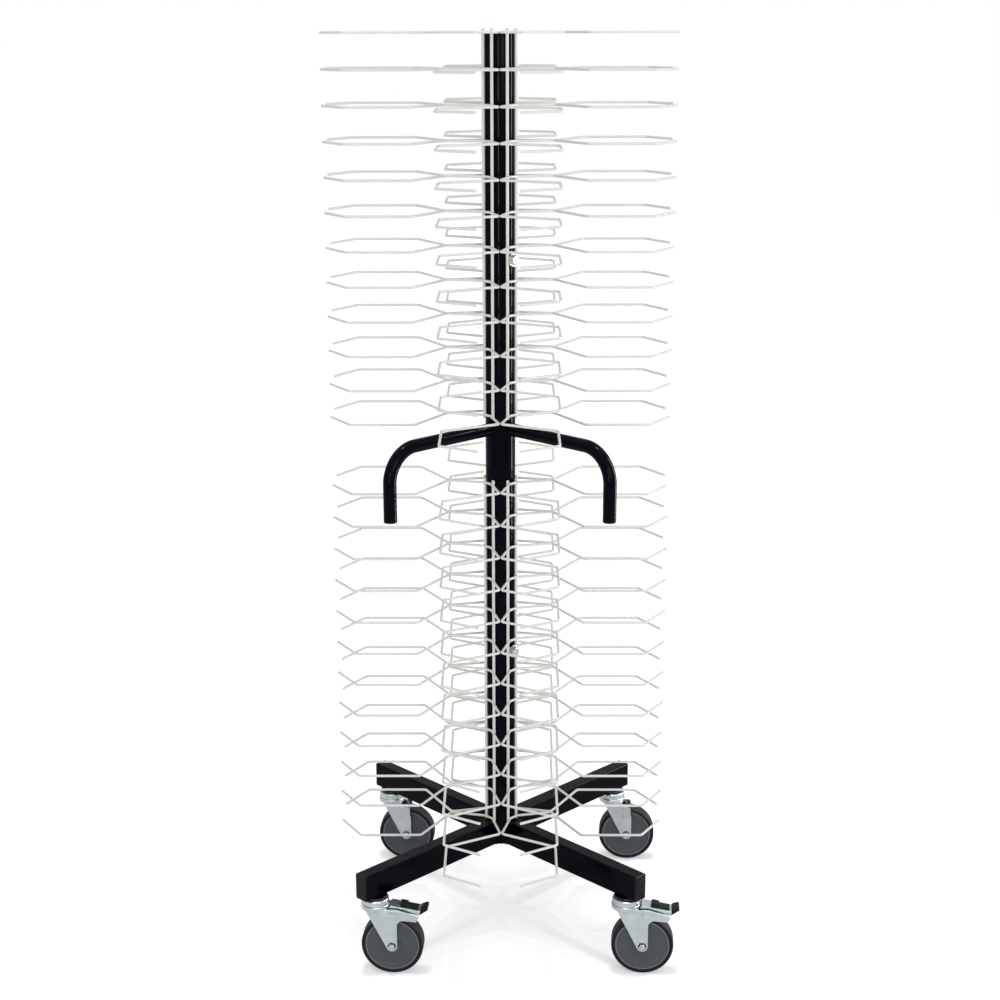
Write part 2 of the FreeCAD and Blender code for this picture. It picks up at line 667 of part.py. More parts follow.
def brake_pedal():
    """Pedal: a channel over the pivot with two ears, and the shoe that it presses on the tread."""
    plate = pedal_strip(PEDAL_START, PEDAL_END, -PEDAL_T, 0.0, PEDAL_W)
    under_z = pedal_point(PIVOT_X, -PEDAL_T)[1]
    pieces = []
    for start in (-PEDAL_W / 2, PEDAL_W / 2 - PEDAL_T):
        flange = pedal_strip(PEDAL_START, PEDAL_END, -PEDAL_FLANGE_H, 0.0, PEDAL_T)
        pieces.append(moved(flange, y=start + PEDAL_T / 2))
        pieces.append(along_y(EAR_R, PEDAL_T, PIVOT_X, PIVOT_Z, start))
        web_corner = Vector(PIVOT_X - EAR_R, start, PIVOT_Z)
        pieces.append(Part.makeBox(2 * EAR_R, PEDAL_T, under_z - PIVOT_Z, web_corner))
    nose = shoe_centre()
    pieces.append(along_y(SHOE_R, SHOE_W, nose.x, nose.z, -SHOE_W / 2))
    stem_h = pedal_point(nose.x, -PEDAL_T / 2)[1] - nose.z
    pieces.append(Part.makeBox(SHOE_STEM_T, SHOE_W, stem_h,
                               Vector(nose.x - SHOE_STEM_T / 2, -SHOE_W / 2, nose.z)))
    body = plate.multiFuse(pieces).removeSplitter()
    return body.cut(along_y(PIVOT_D / 2 + RUN_FIT, PEDAL_W, PIVOT_X, PIVOT_Z, -PEDAL_W / 2))


def pedal_cap():
    """Black pieces on the pedal: a pad with a raised rib, and a tip that turns up past the channel's end."""
    start = PEDAL_START + CAP_SETBACK
    pad = pedal_strip(start, PEDAL_END - CAP_BORDER, 0.0, CAP_T, CAP_W)
    rib = pedal_strip(start, start + CAP_RIB_LENGTH, 0.0, CAP_T + CAP_RIB_H, CAP_RIB_W)
    low = pedal_point(PEDAL_END, -PEDAL_FLANGE_H)
    high = pedal_point(PEDAL_END, CAP_T)
    rise = math.radians(PEDAL_TIP_RISE)
    out = (math.cos(rise), math.sin(rise))
    tip_low = (low[0] + out[0] * PEDAL_TIP, low[1] + out[1] * PEDAL_TIP)
    tip_high = (tip_low[0] - out[1] * PEDAL_TIP_T, tip_low[1] + out[0] * PEDAL_TIP_T)
    tip = polygon_plate([low, tip_low, tip_high, high], PEDAL_W, -PEDAL_W / 2)
    return Part.Compound([pad.fuse(rib).removeSplitter(), tip])


# ---- placing and export ----

def at_caster(shape, angle, turn=CASTER_TURN):
    radians = math.radians(angle)
    placed = turned(shape, turn)
    return moved(placed, CASTER_RADIUS * math.cos(radians), CASTER_RADIUS * math.sin(radians))


def at_every_caster(shape):
    return Part.Compound([at_caster(shape, angle) for angle in CASTERS.values()])


def build_frame():
    export("mast_tube", mast_tube())
    export("mast_top_cap", mast_top_cap())
    export("mast_foot_plug", mast_foot_plug())
    export("base_legs", on_diagonals(leg()))
    export("leg_end_caps", on_diagonals(leg_end_cap()))
    for side, angle in HANDLES.items():
        export("handle_" + side, turned(handle(), angle))
    plug = handle_end_plug()
    export("handle_end_plugs", Part.Compound([turned(plug, angle) for angle in HANDLES.values()]))


def build_cages():
    wire = quarter_wire()
    for cage, top in (("upper", UPPER_CAGE_TOP), ("lower", LOWER_CAGE_TOP)):
        export(cage + "_cage_rods", Part.Compound(cage_rods(top)))
        for quarter, side in enumerate(("front_left", "back_left", "back_right", "front_right")):
            export(cage + "_cage_wires_" + side, cage_wires(wire, quarter, top))
    heights = clamp_heights()
    export("cage_clamp_bolts", Part.Compound([clamp_bolt(height) for height in heights]))
    export("cage_clamp_washers", Part.Compound([clamp_washer(height) for height in heights]))
    export("cage_clamp_inserts", Part.Compound([clamp_insert(height) for height in heights]))


def build_casters():
    export("caster_bosses", at_every_caster(caster_boss()))
    export("caster_leg_nuts", at_every_caster(leg_nut()))
    export("caster_king_bolts", at_every_caster(king_bolt()))
    export("caster_top_races", at_every_caster(top_race()))
    for corner, angle in CASTERS.items():
        braked = corner in BRAKED
        name = corner + "_caster_"
        export(name + "fork", at_caster(fork(braked), angle))
        export(name + "swivel_balls", at_caster(swivel_balls(), angle))
        export(name + "axle_sleeve", at_caster(axle_sleeve(), angle))
        export(name + "axle_bolt", at_caster(axle_bolt(), angle))
        export(name + "axle_nut", at_caster(axle_nut(), angle))
        export(name + "tyre", at_caster(tyre(), angle))
        export(name + "wheel_hub", at_caster(wheel_hub(), angle))
        if braked:
            export(name + "brake_pivot", at_caster(brake_pivot(), angle))
            export(name + "brake_pedal", at_caster(brake_pedal(), angle))
            export(name + "pedal_cap", at_caster(pedal_cap(), angle))


os.makedirs("parts", exist_ok=True)
build_frame()
build_cages()
build_casters()
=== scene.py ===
"""Plate dispenser cart: finishes, welds, wheels, pedal caps and a plain studio around the packed frame."""
import json
import math

import bmesh
import bpy
from mathutils import Matrix, Vector
from mathutils.noise import noise


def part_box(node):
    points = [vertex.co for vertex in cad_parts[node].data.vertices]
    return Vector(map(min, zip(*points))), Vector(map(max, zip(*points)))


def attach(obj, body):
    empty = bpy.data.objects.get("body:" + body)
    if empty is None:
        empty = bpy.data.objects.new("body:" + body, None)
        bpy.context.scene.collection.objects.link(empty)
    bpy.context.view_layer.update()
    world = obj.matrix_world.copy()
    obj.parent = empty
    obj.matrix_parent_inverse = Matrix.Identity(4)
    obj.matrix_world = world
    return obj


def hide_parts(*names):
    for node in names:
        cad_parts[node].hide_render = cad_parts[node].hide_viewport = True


bl_info = {
    "name": "Plate Dispenser Cart",
    "version": (1, 0, 0),
    "blender": (4, 5, 0),
    "location": "3D View > Sidebar > Cart",
    "description": "Finishes, welds, wheels, pedal caps and a plain studio for the plate dispenser cart",
    "category": "Object",
}

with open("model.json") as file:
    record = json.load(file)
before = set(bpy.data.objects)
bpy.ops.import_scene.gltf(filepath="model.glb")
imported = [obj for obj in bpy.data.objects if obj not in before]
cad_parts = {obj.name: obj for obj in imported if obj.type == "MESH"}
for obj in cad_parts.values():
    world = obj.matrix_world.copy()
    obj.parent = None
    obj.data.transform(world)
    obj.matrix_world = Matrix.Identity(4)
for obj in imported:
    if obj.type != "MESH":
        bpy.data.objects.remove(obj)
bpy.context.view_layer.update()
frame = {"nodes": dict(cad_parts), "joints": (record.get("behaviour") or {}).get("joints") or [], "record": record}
CORNERS = ("front_left", "front_right", "back_right", "back_left")
BRAKED = ("front_left", "front_right")
CAGES = ("upper", "lower")
MM = 0.001


def joint_named(name):
    return next(joint for joint in frame["joints"] if joint["name"] == name)


def box_size(node):
    low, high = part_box(node)
    return high - low


MAST_RADIUS = box_size("mast_tube").x / 2
TREAD_RADIUS = box_size("front_left_caster_tyre").z / 2


# ---- settings ----

def number(about, value, **options):
    return bpy.props.FloatProperty(description=about, default=value, **options)


def metres(about, value):
    return number(about, value, precision=5, subtype="DISTANCE", unit="LENGTH")


def length(about, millimetres):
    return metres(about, millimetres * MM)


def radians(about, value):
    return number(about, value, precision=4, subtype="ANGLE", unit="ROTATION")


def share(about, value, highest=1.0):
    return number(about, value, min=0.0, max=highest, precision=3, subtype="FACTOR")


def colour(about, value):
    return bpy.props.FloatVectorProperty(description=about, default=value, size=3, min=0.0, max=1.0,
                                         subtype="COLOR")


class CartFinishSettings(bpy.types.PropertyGroup):
    """Colours and gloss of the cart's finishes."""

    paint: colour("Gloss black powder coat on mast, legs and handles", (0.0008, 0.0009, 0.0036))
    paint_roughness: share("Roughness of the powder coat", 0.11)
    boss: colour("Gloss black on the bosses under the legs", (0.002, 0.002, 0.004))
    boss_roughness: share("Roughness of the bosses", 0.06)
    coat: colour("White coat on the cage wires", (0.80, 0.795, 0.765))
    coat_roughness: share("Roughness of the wire coat", 0.36)
    zinc: colour("Bright zinc plate on the pressed caster parts", (0.59, 0.66, 0.70))
    zinc_roughness: share("Roughness of the zinc plate", 0.24)
    steel: colour("Plated bolts, nuts and washers", (0.58, 0.585, 0.58))
    steel_roughness: share("Roughness of the fasteners", 0.24)
    # painted shade: this dark washer colour stands in for the shadow ring around each axle bolt's head
    washer: colour("Dark oiled washers under the axle bolts' heads", (0.075, 0.078, 0.076))
    washer_roughness: share("Roughness of the oiled washers", 0.3)
    plastic: colour("Moulded caps and plugs", (0.006, 0.006, 0.0085))
    plastic_roughness: share("Roughness of the moulded plastic", 0.42)
    rubber: colour("Tyre rubber", (0.0055, 0.0065, 0.0105))
    rubber_roughness: share("Roughness of the tyre", 0.5)
    hub: colour("Grey moulded wheel centre", (0.062, 0.071, 0.083))
    hub_roughness: share("Roughness of the wheel centre", 0.4)
    # painted highlight: this paler ring colour stands in for light caught on the raised rim of the wheel centre
    rim_ring_painted_highlight: colour("Paler ring at the wheel centre's rim", (0.165, 0.177, 0.195))


class CartCageSettings(bpy.types.PropertyGroup):
    """Sizes of the wire cages that the welds and the wire ends follow."""

    levels: bpy.props.IntProperty(description="Levels of flat wires in a cage", default=12, min=2)
    wire_radius: length("Radius of a coated flat wire", 2.5)
    rod_radius: length("Radius of a coated upright rod", 3.0)
    rod_circle: length("From the mast's axis to a rod's axis", 34.4)
    rod_angle: number("Degrees from a column's middle to a rod", 25.0)
    neck_reach: length("From the mast's axis to a column's neck", 105.5)
    tip_half_gap: length("Half the gap between the two ends at a column's tip", 39.4)
    tip_reach: length("From the mast's axis to a wire's end", 333.4)
    column_half_width: length("Half the width of a plate place", 111.3)
    column_reach: length("From the mast's axis to a wire's last bend", 290.1)
    end_drop: length("Length of the coat's rounded drop at a cut end", 1.3)


class CartWeldSettings(bpy.types.PropertyGroup):
    """Sizes of the weld beads."""

    spot_length: length("Length of a bead between wire and rod", 5.2)
    spot_width: length("Width of a bead between wire and rod", 3.2)
    spot_height: length("Height of a bead between wire and rod", 6.4)
    lump_roughness: share("Unevenness of a lump, as a share of its radius", 0.14)
    bead_radius: length("Radius of the beads around legs and handles", 2.0)
    bead_proud: share("Bead's middle off the mast, as a share of its radius", 0.3)
    bead_roughness: share("Unevenness of a bead's width, as a share of its radius", 0.12)
    ripple_pitch: length("From ripple to ripple along a bead", 2.4)
    ripple_depth: share("Depth of a ripple as a share of the bead's radius", 0.16)
    leg_width: length("Width of a leg's tube", 30.0)
    leg_corner: length("Corner radius of a leg's tube", 3.0)
    handle_diameter: length("Diameter of a handle's tube", 26.0)


class CartWheelSettings(bpy.types.PropertyGroup):
    """Sizes of the moulded wheels."""

    tread_radius: metres("Radius over the tread", TREAD_RADIUS)
    tyre_depth: length("Thickness of the tyre on its rim", 8.0)
    tyre_width: length("Width over the tyre's sides", 34.0)
    shoulder_radius: length("Rounding from side to tread", 4.0)
    crown_edge: length("From the shoulder to where the crown falls away", 2.0)
    seam_height: length("Height of the mould seam around the tread", 0.15)
    side_step: length("Fine step in the tyre's side beside the rim", 0.8)
    rim_inset: length("Rim's edge inside the tyre's side", 1.75)
    edge_round: length("Rounding of the wheel centre's edges", 0.5)
    rim_width: length("Width of the raised ring beside the tyre", 3.0)
    disc_recess: length("Depth of the disc below the rim ring", 2.0)
    disc_border: length("Flat border of the disc inside the rim ring", 4.5)
    disc_foot: length("Flat foot of the disc around the barrel", 5.5)
    disc_bevel: length("Width of the slopes between the disc's flats", 0.7)
    disc_step: length("Depth of each of the disc's two steps", 0.4)
    barrel_radius: length("Radius of the hub's barrel", 17.0)
    barrel_width: length("Length of the hub's barrel", 38.4)
    bore_radius: length("Radius of the hub's bore", 7.55)


class CartAxleSettings(bpy.types.PropertyGroup):
    """Sizes of the washers and the bolt tails on the axles."""

    fork_half: length("From the wheel's middle to the fork's outer face", 22.0)
    washer_radius: length("Outer radius of the washer", 8.6)
    washer_hole: length("Radius of the washer's hole", 6.0)
    washer_thickness: length("Height of the washer's raised rim", 1.1)
    tail_start: length("From the wheel's middle to the nut's outer face", 27.5)
    tail_length: length("Length of the bolt's tail past the nut", 2.0)
    thread_radius: length("Outer radius of the thread", 4.0)
    thread_pitch: length("Pitch of the thread", 1.25)
    thread_root: length("Depth of the ridge's foot in the bolt's face", 0.2)
    thread_crest: length("Height of the ridge over its foot", 0.3)


class CartPedalSettings(bpy.types.PropertyGroup):
    """Sizes of the black caps on the brake pedals."""

    plate_start: length("From the swivel axis to the pedal plate's near end", 31.5)
    plate_end: length("From the swivel axis to the pedal plate's far end", 91.5)
    slope: number("Fall of the pedal's plate in degrees", 9.8)
    pad_start: length("From the swivel axis to the pad's near end", 50.5)
    pad_border: length("Bare plate between the pad and the tip", 4.5)
    pad_width: length("Width of the pad", 21.0)
    pad_height: length("Height of the pad on the plate", 3.0)
    grip_length: length("Length of the raised grip", 15.0)
    grip_width: length("Width of the raised grip", 20.0)
    grip_height: length("Height of the raised grip above the pad", 4.0)
    tip_length: length("Length of the turned-up tip", 21.0)
    tip_rise: number("Angle of the tip above level in degrees", 35.0)
    tip_thickness: length("Thickness of the tip at its end", 5.0)
    tip_width: length("Width of the tip", 31.0)
    flange_height: length("Height of the pedal's side flanges", 9.0)
    rounding: length("Rounding of the cap's edges", 1.1)


class CartStudioSettings(bpy.types.PropertyGroup):
    """Camera, floor and lamps."""

    camera_x: metres("Camera to the right of the mast", 0.022)
    camera_back: metres("Camera in front of the mast", 3.366)
    camera_height: metres("Camera above the floor", 1.8256)
    camera_pitch: radians("Camera's look below the horizon", 0.2763)
    camera_roll: radians("Camera's turn about its own axis", -0.0025)
    lens: number("Focal length in millimetres", 62.02, min=1.0)
    sensor: number("Width of the camera's sensor in millimetres", 36.0, min=1.0)
    farthest: metres("How far the camera sees", 100.0)
    shift: number("Camera's upward shift as a share of the frame", 0.0213, precision=4)
    aim_x: metres("Where the camera's look crosses the mast's plane", -0.0013)
    floor: colour("Colour of the floor", (0.86, 0.86, 0.865))
    floor_half: metres("Half the side of the floor", 14.0)
    floor_lift: share("White that the camera sees added to the floor", 0.345)
    top_strength: number("Strength of the light from above", 0.95, min=0.0)
    top_spread: number("Width of the light from above in degrees", 7.0, min=0.0, max=90.0)
    strip_power: number("Watts of the right strip lamp; the left has half", 60.0, min=0.0)
    fill_power: number("Watts of the broad front lamp", 40.0, min=0.0)
    sky: share("Strength of the even light from all sides", 0.6, 2.0)
    gloss_sky: share("Strength of the sky as shiny surfaces show it", 0.75, 2.0)


# ---- shader nodes ----

def join(tree, source, target):
    tree.links.new(source, target)


def put(socket, value):
    """Link a socket to another, or set its value."""
    if isinstance(value, bpy.types.NodeSocket):
        socket.id_data.links.new(value, socket)
    else:
        socket.default_value = value


def rgba(values):
    return (*values, 1.0)


def shaded(values, factor):
    return [value * factor for value in values]


def math_node(tree, operation, first, second=0.0, clamp=False):
    node = tree.nodes.new("ShaderNodeMath")
    node.operation = operation
    node.use_clamp = clamp
    put(node.inputs[0], first)
    put(node.inputs[1], second)
    return node.outputs[0]


def vector_node(tree, operation, first, second=None):
    node = tree.nodes.new("ShaderNodeVectorMath")
    node.operation = operation
    put(node.inputs[0], first)
    if second is not None:
        put(node.inputs[1], second)
    return node.outputs


def ramp_node(tree, value, low, high):
    """Zero at the low value, one at the high value, and even between them."""
    node = tree.nodes.new("ShaderNodeMapRange")
    for socket, given in (("Value", value), ("From Min", low), ("From Max", high)):
        put(node.inputs[socket], given)
    return node.outputs["Result"]


def noise_node(tree, vector, scale, detail, roughness=0.5):
    node = tree.nodes.new("ShaderNodeTexNoise")
    for socket, given in (("Vector", vector), ("Scale", scale), ("Detail", detail), ("Roughness", roughness)):
        put(node.inputs[socket], given)
    return node.outputs["Fac"]


def mix_colour(tree, factor, first, second):
    """Mix of two colours; a Mix node repeats its sockets' names for each data type, so these go by number."""
    node = tree.nodes.new("ShaderNodeMix")
    node.data_type = "RGBA"
    put(node.inputs[0], factor)
    put(node.inputs[6], first)
    put(node.inputs[7], second)
    return node.outputs[2]


def object_place(tree):
    return tree.nodes.new("ShaderNodeTexCoord").outputs["Object"]


def surface_normal(tree):
    return tree.nodes.new("ShaderNodeNewGeometry").outputs["Normal"]


def split_node(tree, vector):
    node = tree.nodes.new("ShaderNodeSeparateXYZ")
    join(tree, vector, node.inputs[0])
    return node.outputs


def bevel_normal(tree, radius, samples):
    node = tree.nodes.new("ShaderNodeBevel")
    node.samples = samples
    put(node.inputs["Radius"], radius)
    return node.outputs["Normal"]


# ---- shader node groups ----

def group_with(name, inputs, output_kinds):
    """Node group with its inputs' defaults, a float or a colour each, and its outputs' socket kinds."""
    tree = bpy.data.node_groups.new(name, "ShaderNodeTree")
    for socket, default in inputs.items():
        kind = "NodeSocketFloat" if isinstance(default, float) else "NodeSocketColor"
        tree.interface.new_socket(name=socket, in_out="INPUT", socket_type=kind).default_value = default
    for socket, kind in output_kinds.items():
        tree.interface.new_socket(name=socket, in_out="OUTPUT", socket_type=kind)
    return tree, tree.nodes.new("NodeGroupInput").outputs, tree.nodes.new("NodeGroupOutput").inputs


def build_grain_group():
    """Fine texture of a surface: a height for bump, and a roughness that wanders about its middle."""
    tree, given, out = group_with(
        "Surface grain", {"Scale": 900.0, "Height": 0.5, "Roughness": 0.3, "Spread": 0.05},
        {"Height": "NodeSocketFloat", "Roughness": "NodeSocketFloat"})
    place = object_place(tree)
    fine = noise_node(tree, place, given["Scale"], detail=3.0)
    join(tree, math_node(tree, "MULTIPLY", fine, given["Height"]), out["Height"])
    slow_share = 0.03
    slow_scale = math_node(tree, "MULTIPLY", given["Scale"], slow_share)
    slow = noise_node(tree, place, slow_scale, detail=4.0, roughness=0.6)
    drift = math_node(tree, "SUBTRACT", math_node(tree, "MULTIPLY", slow, 2.0), 1.0)
    drift = math_node(tree, "MULTIPLY", drift, given["Spread"])
    join(tree, math_node(tree, "ADD", given["Roughness"], drift, True), out["Roughness"])
    return tree


def build_tone_group():
    """Colour that drifts slowly between two tones over the surface."""
    tree, given, out = group_with(
        "Tone drift", {"Tone": (0.5, 0.5, 0.5, 1.0), "Other tone": (0.4, 0.4, 0.4, 1.0), "Scale": 20.0,
                       "Amount": 0.5}, {"Color": "NodeSocketColor"})
    slow = noise_node(tree, object_place(tree), given["Scale"], detail=5.0, roughness=0.62)
    mask = math_node(tree, "MULTIPLY", ramp_node(tree, slow, 0.35, 0.68), given["Amount"], True)
    join(tree, mix_colour(tree, mask, given["Tone"], given["Other tone"]), out["Color"])
    return tree


def masked(tree, given, out, where, detail, roughness, low, high):
    """Mask output: where the first mask holds, in noisy patches, times the group's amount."""
    patches = noise_node(tree, object_place(tree), given["Scale"], detail, roughness)
    mask = math_node(tree, "MULTIPLY", where, ramp_node(tree, patches, low, high))
    join(tree, math_node(tree, "MULTIPLY", mask, given["Amount"], True), out["Mask"])
    return tree


def build_wear_group():
    """Mask of worn edges: where the surface turns within the radius, broken up by noise."""
    tree, given, out = group_with(
        "Edge wear", {"Radius": 0.0008, "Amount": 0.5, "Scale": 300.0}, {"Mask": "NodeSocketFloat"})
    rounded = bevel_normal(tree, given["Radius"], samples=4)
    turn = vector_node(tree, "DOT_PRODUCT", rounded, surface_normal(tree))["Value"]
    edge = ramp_node(tree, turn, 0.99, 0.88)
    return masked(tree, given, out, edge, detail=4.0, roughness=0.7, low=0.4, high=0.62)


def build_dust_group():
    """Mask of fine dust on faces that look up, in soft patches."""
    tree, given, out = group_with("Settled dust", {"Amount": 0.2, "Scale": 60.0}, {"Mask": "NodeSocketFloat"})
    upward = ramp_node(tree, split_node(tree, surface_normal(tree))["Z"], 0.3, 0.95)
    return masked(tree, given, out, upward, detail=6.0, roughness=0.65, low=0.3, high=0.75)


def build_streak_group():
    """Rolling and polishing streaks drawn out along one axis of the object."""
    tree, given, out = group_with(
        "Rolled streaks", {"Across": 1400.0, "Along": 40.0}, {"Fac": "NodeSocketFloat"})
    split = split_node(tree, object_place(tree))
    spread = tree.nodes.new("ShaderNodeCombineXYZ")
    for axis, scale in (("X", "Across"), ("Y", "Across"), ("Z", "Along")):
        join(tree, math_node(tree, "MULTIPLY", split[axis], given[scale]), spread.inputs[axis])
    join(tree, noise_node(tree, spread.outputs[0], 1.0, detail=4.0, roughness=0.6), out["Fac"])
    return tree


GROUP_BUILDERS = {"Surface grain": build_grain_group, "Tone drift": build_tone_group,
                  "Edge wear": build_wear_group, "Settled dust": build_dust_group,
                  "Rolled streaks": build_streak_group}


# ---- materials ----

class Surface:
    """A material in the making: colour, roughness and height are layered, then joined to its shader."""

    def __init__(self, name, **uniform):
        self.material = bpy.data.materials.new(name)
        self.material.use_nodes = True
        self.tree = self.material.node_tree
        self.shader = self.tree.nodes["Principled BSDF"]
        for socket, value in uniform.items():
            self.shader.inputs[socket.replace("_", " ")].default_value = value

    def group(self, name, **values):
        """Place a shared node group with this material's own values; an underscore stands for a space."""
        node = self.tree.nodes.new("ShaderNodeGroup")
        node.node_tree = bpy.data.node_groups.get(name) or GROUP_BUILDERS[name]()
        for socket, value in values.items():
            put(node.inputs[socket.replace("_", " ")], value)
        return node.outputs

    def grain(self, **values):
        made = self.group("Surface grain", **values)
        self.height, self.roughness = made["Height"], made["Roughness"]

    def tone(self, first, other, **values):
        self.colour = self.group("Tone drift", Tone=rgba(first), Other_tone=rgba(other), **values)["Color"]

    def cover(self, mask, tint):
        self.colour = mix_colour(self.tree, mask, self.colour, rgba(tint))
        return mask

    def wear(self, tint, **values):
        return self.cover(self.group("Edge wear", **values)["Mask"], tint)

    def dust(self, tint, **values):
        return self.cover(self.group("Settled dust", **values)["Mask"], tint)

    def roughen(self, amount, scale=1.0):
        """Add a mask, times its scale, to the roughness."""
        if scale != 1.0:
            amount = math_node(self.tree, "MULTIPLY", amount, scale)
        self.roughness = math_node(self.tree, "ADD", self.roughness, amount, True)

    def axle_distance(self):
        """Distance from the wheel's axle, which is the object's own Z axis."""
        flat = vector_node(self.tree, "MULTIPLY", object_place(self.tree), (1.0, 1.0, 0.0))[0]
        return vector_node(self.tree, "LENGTH", flat)["Value"]

    def finish(self, strength, distance=0.3 * MM, edge_radius=0.0):
        """Soften the edges, lay the fine height on top and join everything to the shader."""
        bump = self.tree.nodes.new("ShaderNodeBump")
        for socket, value in (("Strength", strength), ("Distance", distance), ("Height", self.height)):
            put(bump.inputs[socket], value)
        if edge_radius:
            join(self.tree, bevel_normal(self.tree, edge_radius, samples=6), bump.inputs["Normal"])
        for socket, value in (("Base Color", self.colour), ("Roughness", self.roughness),
                              ("Normal", bump.outputs["Normal"])):
            join(self.tree, value, self.shader.inputs[socket])


def paint_material(finish):
    look = Surface("Gloss black powder coat", Specular_IOR_Level=0.05)
    look.grain(Scale=520.0, Height=0.6, Roughness=finish.paint_roughness, Spread=0.03)
    look.tone(finish.paint, shaded(finish.paint, 1.7), Scale=9.0, Amount=0.6)
    look.wear((0.03, 0.03, 0.036), Radius=1.2 * MM, Amount=0.3, Scale=420.0)
    look.roughen(look.dust((0.22, 0.21, 0.2), Amount=0.03, Scale=38.0))
    look.finish(strength=0.1, edge_radius=0.7 * MM)


def boss_material(finish):
    """Wet-looking black of the bosses, which mirror the pale surroundings at their rims."""
    look = Surface("Polished black boss", Specular_IOR_Level=0.5)
    look.grain(Scale=400.0, Height=0.5, Roughness=finish.boss_roughness, Spread=0.03)
    look.tone(finish.boss, shaded(finish.boss, 2.0), Scale=60.0, Amount=0.5)
    look.finish(strength=0.15, distance=0.4 * MM, edge_radius=1.2 * MM)


def wire_coat_material(finish):
    look = Surface("White wire coat", Specular_IOR_Level=0.45)
    look.grain(Scale=1100.0, Height=0.5, Roughness=finish.coat_roughness, Spread=0.1)
    look.tone(finish.coat, shaded(finish.coat, 0.94), Scale=9.0, Amount=0.6)
    look.dust((0.62, 0.6, 0.56), Amount=0.1, Scale=12.0)
    look.finish(strength=0.25)


def zinc_material(finish):
    look = Surface("Bright zinc plate", Metallic=1.0)
    streaks = look.group("Rolled streaks", Across=900.0, Along=90.0)["Fac"]
    look.grain(Scale=1600.0, Height=0.4, Roughness=finish.zinc_roughness, Spread=0.12)
    look.tone(finish.zinc, (0.44, 0.49, 0.47), Scale=34.0, Amount=0.6)
    look.wear((0.86, 0.87, 0.86), Radius=0.9 * MM, Amount=0.6, Scale=500.0)
    look.roughen(streaks, scale=0.12)
    look.height = math_node(look.tree, "ADD", look.height, streaks)
    look.finish(strength=0.14, edge_radius=1.4 * MM)


def steel_material(finish):
    look = Surface("Plated fasteners", Metallic=1.0)
    look.grain(Scale=2400.0, Height=0.5, Roughness=finish.steel_roughness, Spread=0.1)
    look.tone(finish.steel, (0.42, 0.415, 0.39), Scale=160.0, Amount=0.7)
    look.wear((0.8, 0.8, 0.78), Radius=0.6 * MM, Amount=0.7, Scale=900.0)
    look.finish(strength=0.2, distance=0.2 * MM, edge_radius=0.5 * MM)


# Painted shade: the washers under the axle bolts' heads are made dark so that they stand in for the shadow ring
# around each head.
def washer_painted_shade_material(finish):
    look = Surface("Oiled washer", Metallic=1.0)
    look.grain(Scale=2400.0, Height=0.5, Roughness=finish.washer_roughness, Spread=0.1)
    look.tone(finish.washer, shaded(finish.washer, 2.4), Scale=220.0, Amount=0.6)
    look.finish(strength=0.2, distance=0.2 * MM, edge_radius=0.4 * MM)


def plastic_material(finish):
    look = Surface("Satin black plastic", Specular_IOR_Level=0.12)
    look.colour = rgba(finish.plastic)
    look.grain(Scale=1900.0, Height=0.8, Roughness=finish.plastic_roughness, Spread=0.08)
    look.wear((0.05, 0.05, 0.056), Radius=1.0 * MM, Amount=0.5, Scale=600.0)
    look.dust((0.25, 0.24, 0.22), Amount=0.06, Scale=90.0)
    look.finish(strength=0.35, edge_radius=0.8 * MM)


def rubber_material(finish, wheel):
    """Tyre rubber, scuffed pale and rough on the tread."""
    look = Surface("Black tyre rubber", Specular_IOR_Level=0.2)
    tree = look.tree
    look.grain(Scale=1500.0, Height=0.7, Roughness=finish.rubber_roughness, Spread=0.1)
    look.tone(finish.rubber, (0.011, 0.0125, 0.0175), Scale=55.0, Amount=0.6)
    tread = ramp_node(tree, look.axle_distance(), wheel.tread_radius - 1.6 * MM,
                      wheel.tread_radius - 0.4 * MM)
    patches = noise_node(tree, object_place(tree), 190.0, detail=8.0, roughness=0.72)
    scuffs = math_node(tree, "MULTIPLY", tread, ramp_node(tree, patches, 0.42, 0.7))
    scuffs = math_node(tree, "MULTIPLY", scuffs, 0.5, True)
    look.cover(scuffs, (0.06, 0.063, 0.07))
    look.roughen(scuffs, scale=0.5)
    look.height = math_node(tree, "ADD", look.height, scuffs)
    look.finish(strength=0.3)


def hub_material(finish, wheel):
    """Grey moulded plastic, with a painted highlight: the raised ring beside the tyre is coloured paler to stand
    in for light caught on its edge.
    """
    look = Surface("Grey wheel centre", Specular_IOR_Level=0.4)
    look.grain(Scale=2100.0, Height=0.7, Roughness=finish.hub_roughness, Spread=0.06)
    look.tone(finish.hub, shaded(finish.hub, 0.88), Scale=30.0, Amount=0.6)
    # Painted highlight: the paler colour from the ring's inner edge outwards stands in for light caught on the
    # raised ring.
    ring_in = wheel.tread_radius - wheel.tyre_depth - wheel.rim_width
    blend = 0.4 * MM
    look.cover(ramp_node(look.tree, look.axle_distance(), ring_in - blend, ring_in + blend),
                  finish.rim_ring_painted_highlight)
    look.wear((0.2, 0.21, 0.235), Radius=0.7 * MM, Amount=0.45, Scale=500.0)
    look.finish(strength=0.3)


# ---- mesh helpers ----

def piece_from(bm, name, material, body, sharp_angle=35.0, place=None):
    """Finish a mesh, sharp where it turns by more than the angle, as a piece that rides on a body."""
    bmesh.ops.recalc_face_normals(bm, faces=bm.faces)
    limit = math.radians(sharp_angle)
    for face in bm.faces:
        face.smooth = True
    for edge in bm.edges:
        edge.smooth = len(edge.link_faces) != 2 or edge.calc_face_angle(0.0) < limit
    mesh = bpy.data.meshes.new(name)
    bm.to_mesh(mesh)
    bm.free()
    mesh.materials.append(bpy.data.materials[material])
    piece = bpy.data.objects.new(name, mesh)
    bpy.context.scene.collection.objects.link(piece)
    if place is not None:
        piece.matrix_world = place
    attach(piece, body)
    return piece


